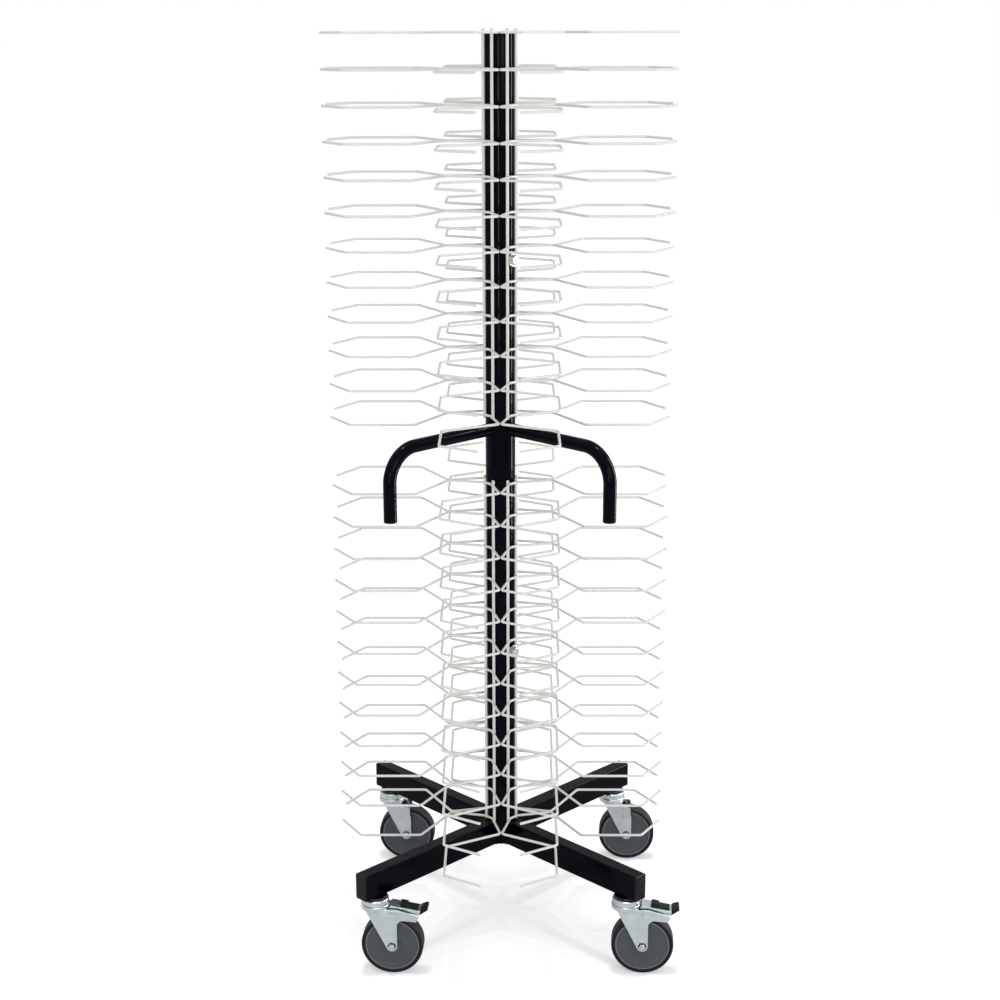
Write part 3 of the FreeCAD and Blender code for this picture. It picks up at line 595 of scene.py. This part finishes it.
def circle(radius, height, count):
    """Points of a level circle about the local Z axis."""
    return [(radius * math.cos(math.tau * k / count), radius * math.sin(math.tau * k / count), height)
            for k in range(count)]


def bridge(bm, rings, closed=True):
    """Quads from ring to ring of vertices, and from the last to the first if closed."""
    for first, second in zip(rings, rings[1:] + rings[:1] if closed else rings[1:]):
        for k in range(len(first)):
            after = (k + 1) % len(first)
            bm.faces.new((first[k], first[after], second[after], second[k]))


def lathe(bm, profile, segments):
    """Closed profile of (radius, height) pairs turned about the local Z axis."""
    bridge(bm, [[bm.verts.new(point) for point in circle(radius, height, segments)]
                for radius, height in profile])


def arc_profile(centre_r, centre_h, radius, start, end, steps):
    """Points of an arc in the (radius, height) plane, between two angles in degrees."""
    angles = [math.radians(start + (end - start) * k / steps) for k in range(steps + 1)]
    return [(centre_r + radius * math.cos(angle), centre_h + radius * math.sin(angle)) for angle in angles]


def mirrored(profile):
    """A wheel's half profile, followed by its mirror image below the middle."""
    return profile + [(radius, -height) for radius, height in reversed(profile)]


def bead(bm, points, welds, seed, sides=10):
    """Closed weld bead through the points, with overlapping ripples and a slightly uneven width."""
    grain = 260.0
    rings = []
    run = 0.0
    for k, point in enumerate(points):
        ahead = (points[(k + 1) % len(points)] - points[k - 1]).normalized()
        out = Vector((point.x, point.y, 0.0)).normalized()
        across = ahead.cross(out).normalized()
        out = across.cross(ahead)
        run += (point - points[k - 1]).length if k else 0.0
        ripple = abs(math.sin(math.pi * run / welds.ripple_pitch))
        wander = welds.bead_roughness * noise(point * grain + Vector((seed, 0.0, 0.0)))
        width = welds.bead_radius * (1.0 - welds.ripple_depth + welds.ripple_depth * ripple + wander)
        rings.append([bm.verts.new(point + x * across + y * out) for x, y, _ in circle(width, 0.0, sides)])
    bridge(bm, rings)


def mast_bead(bm, outline, angle, welds, seed):
    """Bead along an outline of (side, height) pairs, laid on the mast at an angle in degrees."""
    points = []
    for side, height in outline:
        reach = math.sqrt(MAST_RADIUS ** 2 - side ** 2) + welds.bead_radius * welds.bead_proud
        points.append(turned(Vector((reach, side, height)), angle))
    bead(bm, points, welds, seed)


def lump(bm, place, seed, subdivisions):
    """Rounded lump of metal under the coat, stretched by the place's matrix."""
    roughness = bpy.context.scene.cart_welds.lump_roughness
    grain = 1.6
    shift = Vector((seed * 1.7, seed * 0.9, seed * 2.3))
    for vertex in bmesh.ops.create_icosphere(bm, subdivisions=subdivisions, radius=1.0)["verts"]:
        vertex.co *= 1.0 + roughness * noise(vertex.co * grain + shift)
        vertex.co = place @ vertex.co


def about(origin, across, ahead, size):
    """Matrix that places a unit shape with its X across, its Y ahead, and scaled by the three sizes."""
    turn = Matrix((across, ahead, across.cross(ahead))).transposed()
    return Matrix.Translation(origin) @ turn.to_4x4() @ Matrix.Diagonal((*size, 1.0))


def turned(point, degrees):
    return Matrix.Rotation(math.radians(degrees), 3, "Z") @ point


def swapped(vector):
    """The vector in a level, mirrored in the diagonal of a cage's quarter."""
    return Vector((vector.y, vector.x, 0.0))


def level_places(point, ahead, height, size):
    """Matrices at a point of the front-left quarter, at its mirror image, and in the other quarters."""
    for quarter in range(4):
        for spot, facing in ((point, ahead), (swapped(point), swapped(ahead))):
            origin = turned(spot, -90.0 * quarter)
            origin.z = height
            facing = turned(facing, -90.0 * quarter)
            yield about(origin, Vector((-facing.y, facing.x, 0.0)), facing, size)


def cage_levels(cage):
    """Heights of the wires of one cage, read from the spread of its wires."""
    low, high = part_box(cage + "_cage_wires_front_left")
    cages = bpy.context.scene.cart_cages
    lowest, highest = low.z + cages.wire_radius, high.z - cages.wire_radius
    return [lowest + (highest - lowest) * k / (cages.levels - 1) for k in range(cages.levels)]


def rod_axis(cages, quarter, side):
    """Axis of a rod, on the left (-1) or right (1) of the middle of a quarter turn's column."""
    angle = math.radians(270.0 - 90.0 * quarter + side * cages.rod_angle)
    return Vector((cages.rod_circle * math.cos(angle), cages.rod_circle * math.sin(angle), 0.0))


def axle_place(corner):
    """Matrix whose origin is the wheel's centre and whose Z axis is the axle."""
    joint = joint_named(corner + "_wheel_roll")
    turn = Vector(joint["axis"]).to_track_quat("Z", "X").to_matrix().to_4x4()
    return Matrix.Translation(joint["pos_m"]) @ turn


def swivel_place(corner):
    """Matrix of a caster: origin on the floor under the swivel axis, X along the trail."""
    swivel = Vector(joint_named(corner + "_swivel_turn")["pos_m"])
    trail = Vector(joint_named(corner + "_wheel_roll")["pos_m"]) - swivel
    turn = Matrix.Rotation(math.atan2(trail.y, trail.x), 4, "Z")
    return Matrix.Translation((swivel.x, swivel.y, 0.0)) @ turn


# ---- operators: finishes ----

FINISH_SLOTS = {"black_paint": "Gloss black powder coat", "white_wire": "White wire coat",
                "zinc_plate": "Bright zinc plate", "bright_steel": "Plated fasteners",
                "black_plastic": "Satin black plastic", "tyre_rubber": "Black tyre rubber",
                "wheel_plastic": "Grey wheel centre"}


class CART_OT_finishes(bpy.types.Operator):
    """Build the cart's finishes and put them on the frame's pieces"""

    bl_idname = "cart.finishes"
    bl_label = "Finishes"

    def execute(self, context):
        finish = context.scene.cart_finish
        for build in (paint_material, wire_coat_material, zinc_material, steel_material, plastic_material,
                      boss_material, washer_painted_shade_material):
            build(finish)
        rubber_material(finish, context.scene.cart_wheels)
        hub_material(finish, context.scene.cart_wheels)
        for part in frame["record"]["subparts"]:
            name = FINISH_SLOTS[part["material_slot"]]
            if part["node"] == "caster_bosses":
                name = "Polished black boss"
            for material_slot in frame["nodes"][part["node"]].material_slots:
                material_slot.material = bpy.data.materials[name]
        return {"FINISHED"}


# ---- operators: cages ----

class CART_OT_cage_welds(bpy.types.Operator):
    """Build the coated spot welds where each flat wire meets its two rods"""

    bl_idname = "cart.cage_welds"
    bl_label = "Cage welds"

    def execute(self, context):
        cages = context.scene.cart_cages
        welds = context.scene.cart_welds
        rod = rod_axis(cages, 0, -1)
        neck = Vector((-cages.wire_radius, -cages.neck_reach, 0.0))
        out = ((neck - rod).normalized() + (swapped(rod) - rod).normalized()).normalized()
        size = (welds.spot_length / 2, welds.spot_width / 2, welds.spot_height / 2)
        seed = 0
        for cage in CAGES:
            bm = bmesh.new()
            for height in cage_levels(cage):
                for place in level_places(rod + out * cages.rod_radius, out, height, size):
                    seed += 1
                    lump(bm, place, seed, 2)
            piece_from(bm, cage + "_cage_spot_welds", "White wire coat", "frame", 80.0)
        return {"FINISHED"}


class CART_OT_wire_ends(bpy.types.Operator):
    """Round off the coated ends of the flat wires and of the upright rods"""

    bl_idname = "cart.wire_ends"
    bl_label = "Wire ends"

    def execute(self, context):
        cages = context.scene.cart_cages
        tip = Vector((-cages.tip_half_gap, -cages.tip_reach, 0.0))
        ahead = (tip - Vector((-cages.column_half_width, -cages.column_reach, 0.0))).normalized()
        wire_size = (cages.wire_radius, cages.end_drop, cages.wire_radius)
        rod_size = (cages.rod_radius, cages.rod_radius, cages.end_drop)
        x, y, z = Vector((1.0, 0.0, 0.0)), Vector((0.0, 1.0, 0.0)), Vector((0.0, 0.0, 1.0))
        for cage in CAGES:
            bm = bmesh.new()
            places = [place for height in cage_levels(cage)
                      for place in level_places(tip, ahead, height, wire_size)]
            for quarter in range(4):
                for side in (-1, 1):
                    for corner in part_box(cage + "_cage_rods"):
                        end = rod_axis(cages, quarter, side) + corner.z * z
                        places.append(about(end, x, y, rod_size))
            for place in places:
                lump(bm, place, 0, 3)
            piece_from(bm, cage + "_cage_wire_ends", "White wire coat", "frame", 80.0)
        return {"FINISHED"}


# ---- operators: frame ----

class CART_OT_frame_welds(bpy.types.Operator):
    """Build the weld beads around the legs and the handles where they meet the mast"""

    bl_idname = "cart.frame_welds"
    bl_label = "Frame welds"

    def leg_outline(self, welds, step):
        """Rounded rectangle of a leg's tube, in points about a step apart."""
        low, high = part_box("base_legs")
        corner = welds.leg_corner
        corners = []
        for across, up, start in ((1, 1, 0), (-1, 1, 90), (-1, -1, 180), (1, -1, 270)):
            middle = (across * (welds.leg_width / 2 - corner), (high.z if up > 0 else low.z) - up * corner)
            corners += [Vector(point) for point in arc_profile(*middle, corner, start, start + 90, 6)]
        outline = []
        for first, second in zip(corners, corners[1:] + corners[:1]):
            steps = max(1, round((second - first).length / step))
            outline += [first.lerp(second, k / steps) for k in range(steps)]
        return outline

    def handle_outline(self, welds, step):
        """Circle of a handle's tube, in points about a step apart."""
        radius = welds.handle_diameter / 2
        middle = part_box("handle_left")[1].z - radius
        return [(x, middle + y) for x, y, _ in circle(radius, 0.0, round(math.tau * radius / step))]

    def execute(self, context):
        welds = context.scene.cart_welds
        step = welds.ripple_pitch / 4
        seed = 0
        for name, outline, angles in (("leg_weld_beads", self.leg_outline, (45.0, 135.0, 225.0, 315.0)),
                                      ("handle_weld_beads", self.handle_outline, (225.0, 315.0))):
            bm = bmesh.new()
            for angle in angles:
                mast_bead(bm, outline(welds, step), angle, welds, seed)
                seed += 1
            piece_from(bm, name, "Gloss black powder coat", "frame", 80.0)
        return {"FINISHED"}


# ---- operators: casters ----

def tyre_profile(wheel):
    """Section of the tyre: bead on the rim, sides with a fine step, round shoulders, seam on the tread."""
    half = wheel.tyre_width / 2
    inner = wheel.tread_radius - wheel.tyre_depth
    seam = wheel.seam_height
    tread = wheel.tread_radius - seam
    shoulder = wheel.shoulder_radius
    step = wheel.side_step
    step_face = half - step * 0.4
    crown_flat = half * 0.2
    side = [(inner, half - step), (inner + step * 2, step_face), (inner + step * 2.6, step_face)]
    side += arc_profile(inner + step * 3.2, half - step * 0.5, step * 0.5, 180.0, 90.0, 3)
    side += arc_profile(tread - shoulder, half - shoulder, shoulder, 84.0, 8.0, 12)
    side += [(tread - seam, half - shoulder - wheel.crown_edge), (tread, crown_flat), (tread, seam * 2),
             (wheel.tread_radius, seam)]
    return mirrored(side)


def hub_profile(wheel):
    """Section of the wheel centre: raised rim ring, stepped disc, and the barrel on the sleeve."""
    half = wheel.tyre_width / 2 - wheel.rim_inset
    rim = wheel.tread_radius - wheel.tyre_depth
    ring_in = rim - wheel.rim_width
    face = half - wheel.disc_recess
    soft = wheel.edge_round
    barrel = wheel.barrel_radius
    barrel_half = wheel.barrel_width / 2
    border = ring_in - wheel.disc_border
    foot = barrel + wheel.disc_foot
    side = [(rim, half - soft)]
    side += arc_profile(rim - soft, half - soft, soft, 0.0, 90.0, 4)[1:]
    side += arc_profile(ring_in + soft, half - soft, soft, 90.0, 180.0, 4)
    side += arc_profile(ring_in - soft * 2, face + soft * 2, soft * 2, 0.0, -90.0, 5)
    side += [(border, face), (border - wheel.disc_bevel, face - wheel.disc_step),
             (foot + wheel.disc_bevel, face - wheel.disc_step * 2), (foot, face - wheel.disc_step)]
    side += arc_profile(barrel + soft * 2, face + soft * 2, soft * 2, 270.0, 180.0, 4)
    side += arc_profile(barrel - soft, barrel_half - soft, soft, 0.0, 90.0, 4)
    side += [(wheel.bore_radius + soft, barrel_half), (wheel.bore_radius, barrel_half - soft)]
    return mirrored(side)


class CART_OT_wheels(bpy.types.Operator):
    """Build each moulded tyre and wheel centre around its axle"""

    bl_idname = "cart.wheels"
    bl_label = "Wheels"

    def execute(self, context):
        wheel = context.scene.cart_wheels
        for corner in CORNERS:
            place = axle_place(corner)
            body = corner + "_wheel"
            bm = bmesh.new()
            lathe(bm, tyre_profile(wheel), 160)
            tyre = piece_from(bm, corner + "_moulded_tyre", "Black tyre rubber", body,
                              place=place)
            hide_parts(corner + "_caster_tyre")
            bm = bmesh.new()
            lathe(bm, hub_profile(wheel), 128)
            centre = piece_from(bm, corner + "_wheel_centre", "Grey wheel centre", body,
                                place=place)
            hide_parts(corner + "_caster_wheel_hub")
        return {"FINISHED"}


def washer_profile(axle):
    """Section of a washer that is dished inside its raised rim."""
    base = -axle.fork_half
    rim = base - axle.washer_thickness
    shoulder = base + (rim - base) * 0.6
    dish = base + (rim - base) * 0.5
    radius = axle.washer_radius
    return [(axle.washer_hole, base), (radius, base), (radius, shoulder), (radius * 0.95, rim),
            (radius * 0.88, rim), (radius * 0.8, dish), (axle.washer_hole, dish)]


def thread(bm, axle):
    """Thread on the bolt's tail: a ridge that winds along the axle and fades out at both ends."""
    steps = 36
    total = steps * axle.tail_length / axle.thread_pitch
    fading = 4.0
    flank = axle.thread_pitch * 0.3
    root = axle.thread_radius - axle.thread_root
    rows = []
    for k in range(int(total) + 1):
        angle = math.tau * k / steps
        middle = axle.tail_start + axle.thread_pitch * k / steps
        crest = root + axle.thread_crest * min(1.0, fading * k / total, fading * (1.0 - k / total))
        rows.append([bm.verts.new((radius * math.cos(angle), radius * math.sin(angle), height))
                     for radius, height in ((root, middle - flank), (crest, middle), (root, middle + flank))])
    bridge(bm, rows, closed=False)
    bm.faces.new(rows[0])
    bm.faces.new(list(reversed(rows[-1])))


class CART_OT_axle_details(bpy.types.Operator):
    """Build the washer under each axle bolt's head and the thread on its tail"""

    bl_idname = "cart.axle_details"
    bl_label = "Axle details"

    def execute(self, context):
        axle = context.scene.cart_axles
        for corner in CORNERS:
            place = axle_place(corner)
            bm = bmesh.new()
            lathe(bm, washer_profile(axle), 64)
            # The washer's dark colour stands in for the shadow ring around the bolt's head (painted shade).
            piece_from(bm, corner + "_axle_washer", "Oiled washer", corner + "_swivel",
                       30.0, place)
            bm = bmesh.new()
            thread(bm, axle)
            piece_from(bm, corner + "_axle_thread", "Plated fasteners", corner + "_swivel",
                       25.0, place)
        return {"FINISHED"}


def rounded_slab(bm, outline, width, rounding):
    """Slab of the outline, which lies in the XZ plane, across the middle, with all its edges rounded."""
    near, far = ([bm.verts.new((x, y, z)) for x, z in outline] for y in (-width / 2, width / 2))
    faces = [bm.faces.new(near), bm.faces.new(list(reversed(far)))]
    for k in range(len(outline)):
        after = (k + 1) % len(outline)
        faces.append(bm.faces.new((near[after], near[k], far[k], far[after])))
    edges = list({edge for face in faces for edge in face.edges})
    bmesh.ops.bevel(bm, geom=edges, offset=rounding, segments=4, profile=0.5, affect="EDGES",
                    clamp_overlap=True)


class CART_OT_pedal_caps(bpy.types.Operator):
    """Build the rounded black cap on each brake pedal"""

    bl_idname = "cart.pedal_caps"
    bl_label = "Pedal caps"

    def cap_slabs(self, pedal, top):
        """Outline and width of the pad, the raised grip and the turned-up tip."""
        slope = math.radians(pedal.slope)

        def on_plate(x, up):
            face = top - (x - pedal.plate_start) * math.tan(slope)
            return Vector((x + up * math.sin(slope), face + up * math.cos(slope)))

        def strip(start, end, up):
            return [on_plate(start, 0.0), on_plate(end, 0.0), on_plate(end, up), on_plate(start, up)]

        rise = math.radians(pedal.tip_rise)
        low = on_plate(pedal.plate_end, -pedal.flange_height)
        tip_low = low + pedal.tip_length * Vector((math.cos(rise), math.sin(rise)))
        tip_high = tip_low + pedal.tip_thickness * Vector((-math.sin(rise), math.cos(rise)))
        pad = strip(pedal.pad_start, pedal.plate_end - pedal.pad_border, pedal.pad_height)
        grip = strip(pedal.pad_start, pedal.pad_start + pedal.grip_length,
                     pedal.pad_height + pedal.grip_height)
        tip = [low, tip_low, tip_high, on_plate(pedal.plate_end, pedal.pad_height)]
        return (pad, pedal.pad_width), (grip, pedal.grip_width), (tip, pedal.tip_width)

    def execute(self, context):
        pedal = context.scene.cart_pedals
        for corner in BRAKED:
            bm = bmesh.new()
            for outline, width in self.cap_slabs(pedal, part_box(corner + "_caster_fork")[1].z):
                rounded_slab(bm, outline, width, pedal.rounding)
            cap = piece_from(bm, corner + "_rounded_pedal_cap", "Satin black plastic",
                             corner + "_pedal", 50.0, swivel_place(corner))
            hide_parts(corner + "_caster_pedal_cap")
        return {"FINISHED"}


# ---- operator: studio ----

class CART_OT_studio(bpy.types.Operator):
    """Build the plain pale floor, the soft lamps and the camera"""

    bl_idname = "cart.studio"
    bl_label = "Studio"

    def floor(self, context, studio):
        bm = bmesh.new()
        bmesh.ops.create_grid(bm, x_segments=2, y_segments=2, size=studio.floor_half)
        mesh = bpy.data.meshes.new("studio_floor")
        bm.to_mesh(mesh)
        bm.free()
        look = Surface("Pale floor", Base_Color=rgba(studio.floor), Roughness=0.9, Specular_IOR_Level=0.0,
                          Emission_Color=(1.0, 1.0, 1.0, 1.0))
        path = look.tree.nodes.new("ShaderNodeLightPath")
        lift = math_node(look.tree, "MULTIPLY", path.outputs["Is Camera Ray"], studio.floor_lift)
        join(look.tree, lift, look.shader.inputs["Emission Strength"])
        mesh.materials.append(look.material)
        floor = bpy.data.objects.new("studio_floor", mesh)
        context.scene.collection.objects.link(floor)

    def sky(self, context, studio):
        """Even white sky, which the camera and clear surfaces see at full white."""
        world = bpy.data.worlds.new("Studio sky")
        context.scene.world = world
        world.use_nodes = True
        tree = world.node_tree
        back = tree.nodes["Background"]
        back.inputs["Color"].default_value = (1.0, 1.0, 1.0, 1.0)
        path = tree.nodes.new("ShaderNodeLightPath")
        total = studio.sky
        for ray, strength in (("Is Camera Ray", 1.0), ("Is Glossy Ray", studio.gloss_sky),
                              ("Is Transmission Ray", 1.0)):
            extra = math_node(tree, "MULTIPLY", path.outputs[ray], strength - studio.sky)
            total = math_node(tree, "ADD", extra, total)
        join(tree, total, back.inputs["Strength"])

    def light(self, context, name, kind, energy):
        data = bpy.data.lights.new(name, kind)
        data.energy = energy
        lamp = bpy.data.objects.new(name, data)
        context.scene.collection.objects.link(lamp)
        return data, lamp

    def lamp(self, context, name, place, target, size, power, in_diffuse):
        data, lamp = self.light(context, name, "AREA", power)
        data.shape = "RECTANGLE"
        data.size, data.size_y = size
        lamp.location = place
        lamp.rotation_mode = "QUATERNION"
        lamp.rotation_quaternion = (Vector(target) - Vector(place)).to_track_quat("-Z", "Y")
        lamp.visible_camera = False
        lamp.visible_diffuse = in_diffuse

    def camera(self, context, studio):
        data = bpy.data.cameras.new("Front camera")
        data.sensor_width = studio.sensor
        data.lens = studio.lens
        data.shift_y = studio.shift
        data.clip_end = studio.farthest
        camera = bpy.data.objects.new("Front camera", data)
        context.scene.collection.objects.link(camera)
        yaw = math.atan2(studio.camera_x - studio.aim_x, studio.camera_back)
        turn = (Matrix.Rotation(yaw, 4, "Z") @ Matrix.Rotation(math.pi / 2 - studio.camera_pitch, 4, "X")
                @ Matrix.Rotation(studio.camera_roll, 4, "Z"))
        place = Vector((studio.camera_x, -studio.camera_back, studio.camera_height))
        camera.matrix_world = Matrix.Translation(place) @ turn
        context.scene.camera = camera

    def execute(self, context):
        studio = context.scene.cart_studio
        self.floor(context, studio)
        self.sky(context, studio)
        sun = self.light(context, "Overhead light", "SUN", studio.top_strength)[0]
        sun.angle = math.radians(studio.top_spread)
        strip = studio.strip_power
        for name, place, aim_height, size, power, in_diffuse in (
                ("Front lamp", (1.6, -3.4, 2.4), 1.0, (2.2, 1.6), studio.fill_power, True),
                ("Left strip", (-0.7, -4.15, 1.35), 1.2, (0.14, 1.7), strip * 0.5, False),
                ("Right strip", (1.9, 0.3, 1.3), 1.0, (0.2, 2.2), strip, False)):
            self.lamp(context, name, place, (0.0, 0.0, aim_height), size, power, in_diffuse)
        self.camera(context, studio)
        view = context.scene.view_settings
        view.view_transform = "Standard"
        return {"FINISHED"}


# ---- panel, registration and running ----

GROUPS = {"cart_finish": CartFinishSettings, "cart_cages": CartCageSettings, "cart_welds": CartWeldSettings,
          "cart_wheels": CartWheelSettings, "cart_axles": CartAxleSettings, "cart_pedals": CartPedalSettings,
          "cart_studio": CartStudioSettings}
OPERATORS = (CART_OT_finishes, CART_OT_cage_welds, CART_OT_wire_ends, CART_OT_frame_welds, CART_OT_wheels,
             CART_OT_axle_details, CART_OT_pedal_caps, CART_OT_studio)


class CART_PT_sidebar(bpy.types.Panel):
    """The cart's pieces and their settings"""

    bl_idname = "CART_PT_sidebar"
    bl_label = "Plate Dispenser Cart"
    bl_space_type = "VIEW_3D"
    bl_region_type = "UI"
    bl_category = "Cart"

    def draw(self, context):
        for operator in OPERATORS:
            self.layout.operator(operator.bl_idname)
        for name, group in GROUPS.items():
            box = self.layout.box()
            box.label(text=group.__doc__)
            for setting in group.__annotations__:
                box.prop(getattr(context.scene, name), setting, text=setting.replace("_", " ").capitalize())


def register():
    for group in GROUPS.values():
        bpy.utils.register_class(group)
    for name, group in GROUPS.items():
        setattr(bpy.types.Scene, name, bpy.props.PointerProperty(type=group))
    for operator in OPERATORS:
        bpy.utils.register_class(operator)
    bpy.utils.register_class(CART_PT_sidebar)


def unregister():
    bpy.utils.unregister_class(CART_PT_sidebar)
    for operator in reversed(OPERATORS):
        bpy.utils.unregister_class(operator)
    for name in GROUPS:
        delattr(bpy.types.Scene, name)
    for group in reversed(GROUPS.values()):
        bpy.utils.unregister_class(group)


def main():
    register()
    for operator in OPERATORS:
        getattr(bpy.ops.cart, operator.bl_idname.split(".")[1])()


if __name__ == "__main__":
    main()
